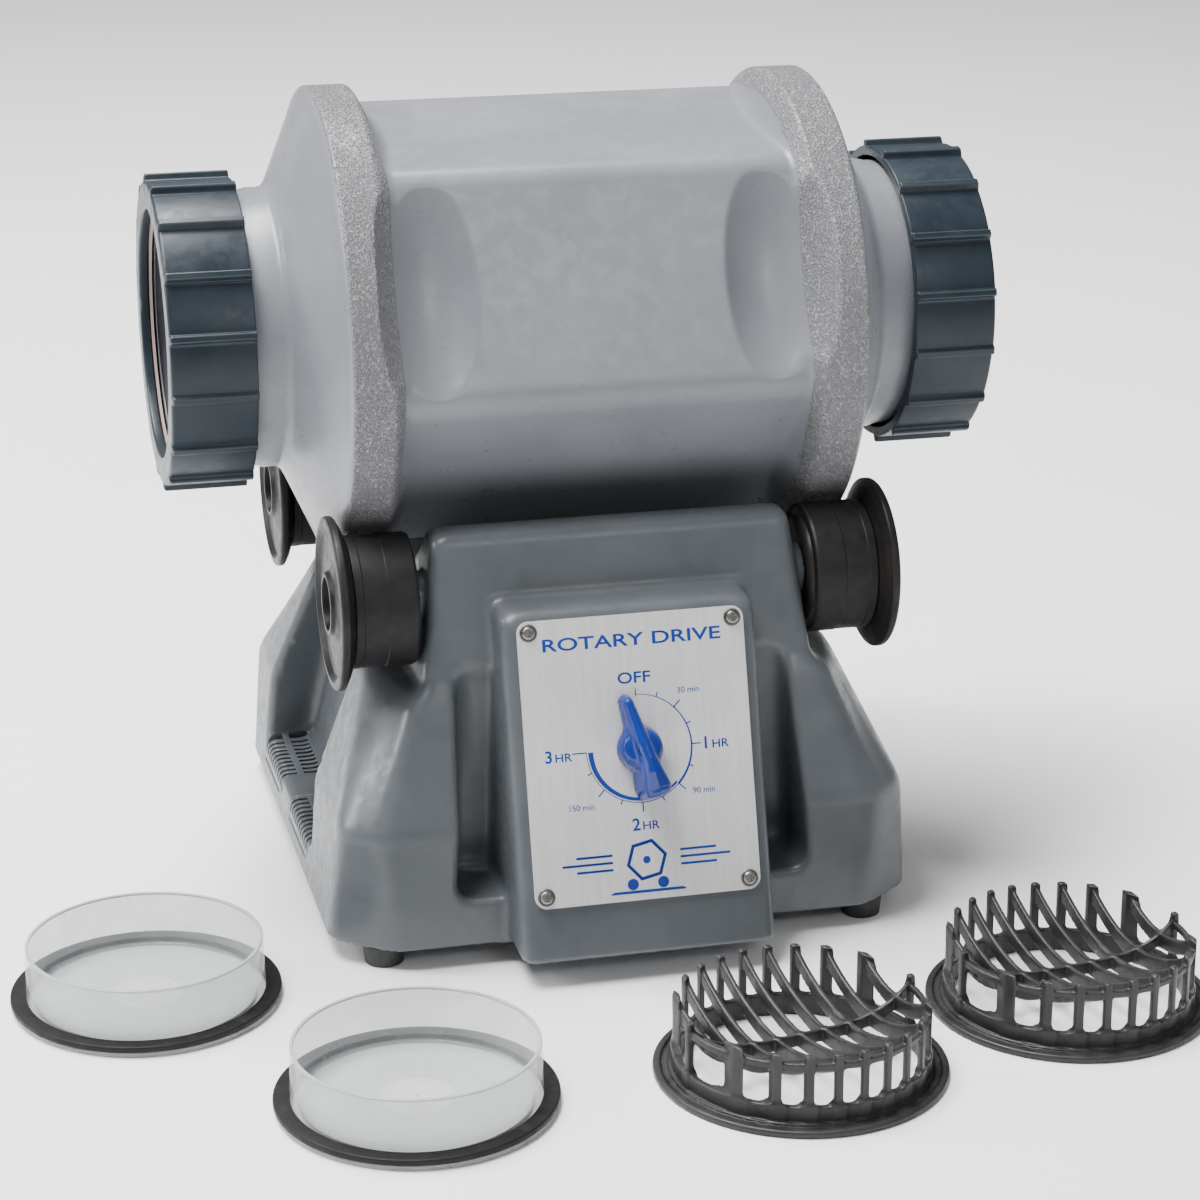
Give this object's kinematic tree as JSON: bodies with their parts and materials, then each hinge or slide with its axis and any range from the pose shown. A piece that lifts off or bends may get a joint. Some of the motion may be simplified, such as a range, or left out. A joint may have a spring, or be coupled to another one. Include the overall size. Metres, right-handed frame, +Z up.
{
  "type": "rotary rock tumbler",
  "caption": "Powered roller base with a timer turning a hexagonal drum with ribbed open screw caps; clear lens and strainer closures stand loose beside it.",
  "frame": {"origin": "on the floor, straight below the middle of the drum", "axes": "+X along the drum axis, +Y to the back, +Z up; the timer faces -Y"},
  "size_m": [0.4822, 0.4561, 0.349],
  "materials": {
    "drum_plastic": "satin blow-moulded plastic",
    "base_plastic": "satin moulded plastic",
    "cap_plastic": "satin",
    "washer_plastic": "matt",
    "roller_plastic": "satin, rubbed",
    "roller_rubber": "matt",
    "foot_rubber": "matt",
    "belt_rubber": "matt",
    "seal_rubber": "matt",
    "plate_aluminium": "brushed",
    "knob_blue": "gloss",
    "steel": "turned",
    "bearing_bronze": "sintered",
    "pin_brass": "bright",
    "lamination_iron": "laminated",
    "coil_wrap": "lacquered",
    "gear_nylon": "satin",
    "fan_plastic": "satin",
    "gearbox_alloy": "as cast",
    "bracket_steel": "zinc plated",
    "inlet_plastic": "satin",
    "clear_plastic": "clear",
    "strainer_plastic": "satin"
  },
  "bodies": {
    "base": {"base_housing": "base_plastic", "bottom_plate": "base_plastic", "bottom_screws": "steel", "foot_front_left": "foot_rubber", "foot_front_right": "foot_rubber", "foot_rear_left": "foot_rubber", "foot_rear_right": "foot_rubber", "foot_screws": "steel", "control_plate": "plate_aluminium", "control_plate_screws": "steel", "timer_body": "inlet_plastic", "timer_nut": "steel", "front_bearings": "bearing_bronze", "rear_bearings": "bearing_bronze", "drive_belt": "belt_rubber", "motor_bracket": "bracket_steel", "motor_bracket_screws": "steel", "motor_stack": "lamination_iron", "motor_coil": "coil_wrap", "motor_end_brackets": "bracket_steel", "gearbox_case": "gearbox_alloy", "gearbox_cover": "gearbox_alloy", "power_inlet": "inlet_plastic", "inlet_pins": "pin_brass", "inlet_screws": "steel"},
    "drum": {"drum_barrel": "drum_plastic", "drum_end_left": "drum_plastic", "drum_end_right": "drum_plastic"},
    "left_washer": {"left_slip_washer": "washer_plastic"},
    "right_washer": {"right_slip_washer": "washer_plastic"},
    "left_cap_ring": {"left_cap": "cap_plastic"},
    "right_cap_ring": {"right_cap": "cap_plastic"},
    "front_axle_set": {"front_axle": "steel", "front_axle_clips": "steel", "roller_hub_front_left": "roller_plastic", "roller_hub_front_right": "roller_plastic", "roller_tyre_front_left": "roller_rubber", "roller_tyre_front_right": "roller_rubber", "driven_pulley": "fan_plastic"},
    "rear_axle_set": {"rear_axle": "steel", "rear_axle_clips": "steel", "roller_hub_rear_left": "roller_plastic", "roller_hub_rear_right": "roller_plastic", "roller_tyre_rear_left": "roller_rubber", "roller_tyre_rear_right": "roller_rubber"},
    "gearbox_output": {"output_gear": "gear_nylon", "output_shaft": "steel", "drive_pulley": "fan_plastic"},
    "gearbox_lay": {"lay_gear": "gear_nylon"},
    "rotor_set": {"motor_rotor": "steel", "cooling_fan": "fan_plastic"},
    "timer_dial": {"timer_knob": "knob_blue", "timer_shaft": "steel"},
    "closure_lens_left": {"lens_left": "clear_plastic", "lens_gasket_left": "seal_rubber"},
    "closure_lens_front": {"lens_front": "clear_plastic", "lens_gasket_front": "seal_rubber"},
    "closure_strainer_front": {"strainer_front": "strainer_plastic"},
    "closure_strainer_right": {"strainer_right": "strainer_plastic"}
  },
  "joints": [
    {"name": "drum_spin", "type": "hinge", "parent": "base", "child": "drum", "pos_m": [0, 0, 0.247], "axis": [1, 0, 0], "continuous": true},
    {"name": "front_axle_turn", "type": "hinge", "parent": "base", "child": "front_axle_set", "pos_m": [0, -0.0853, 0.1485], "axis": [1, 0, 0], "continuous": true},
    {"name": "rear_axle_turn", "type": "hinge", "parent": "base", "child": "rear_axle_set", "pos_m": [0, 0.0853, 0.1485], "axis": [1, 0, 0], "continuous": true},
    {"name": "gearbox_output_turn", "type": "hinge", "parent": "base", "child": "gearbox_output", "pos_m": [0, -0.02981, 0.08381], "axis": [1, 0, 0], "continuous": true},
    {"name": "gearbox_lay_turn", "type": "hinge", "parent": "base", "child": "gearbox_lay", "pos_m": [0, -0.0053, 0.066], "axis": [1, 0, 0], "continuous": true},
    {"name": "motor_turn", "type": "hinge", "parent": "base", "child": "rotor_set", "pos_m": [0, 0.025, 0.066], "axis": [1, 0, 0], "continuous": true},
    {"name": "timer_turn", "type": "hinge", "parent": "base", "child": "timer_dial", "pos_m": [0, -0.14068, 0.09395], "axis": [0, 0.9563, -0.2924], "range_deg": [0, 284]},
    {"name": "left_cap_travel", "type": "slide", "parent": "drum", "child": "left_washer", "axis": [-1, 0, 0], "range_m": [0, 0.018]},
    {"name": "left_cap_turn", "type": "hinge", "parent": "left_washer", "child": "left_cap_ring", "pos_m": [-0.16, 0, 0.247], "axis": [-1, 0, 0], "range_deg": [0, 810]},
    {"name": "right_cap_travel", "type": "slide", "parent": "drum", "child": "right_washer", "axis": [1, 0, 0], "range_m": [0, 0.018]},
    {"name": "right_cap_turn", "type": "hinge", "parent": "right_washer", "child": "right_cap_ring", "pos_m": [0.16, 0, 0.247], "axis": [1, 0, 0], "range_deg": [0, 810]},
    {"name": "lens_left_lift", "type": "slide", "parent": "base", "child": "closure_lens_left", "axis": [0, 0, 1], "range_m": [0, 0.25]},
    {"name": "lens_front_lift", "type": "slide", "parent": "base", "child": "closure_lens_front", "axis": [0, 0, 1], "range_m": [0, 0.25]},
    {"name": "strainer_front_lift", "type": "slide", "parent": "base", "child": "closure_strainer_front", "axis": [0, 0, 1], "range_m": [0, 0.25]},
    {"name": "strainer_right_lift", "type": "slide", "parent": "base", "child": "closure_strainer_right", "axis": [0, 0, 1], "range_m": [0, 0.25]}
  ],
  "couplings": [
    {"joint": "front_axle_turn", "follows": "drum_spin", "ratio": -3.6429},
    {"joint": "rear_axle_turn", "follows": "drum_spin", "ratio": -3.6429},
    {"joint": "gearbox_output_turn", "follows": "drum_spin", "ratio": -4.5536},
    {"joint": "gearbox_lay_turn", "follows": "drum_spin", "ratio": 18.214},
    {"joint": "motor_turn", "follows": "drum_spin", "ratio": -91.071},
    {"joint": "left_cap_travel", "follows": "left_cap_turn", "m_per_rad": 0.0012732},
    {"joint": "right_cap_travel", "follows": "right_cap_turn", "m_per_rad": 0.0012732}
  ]
}
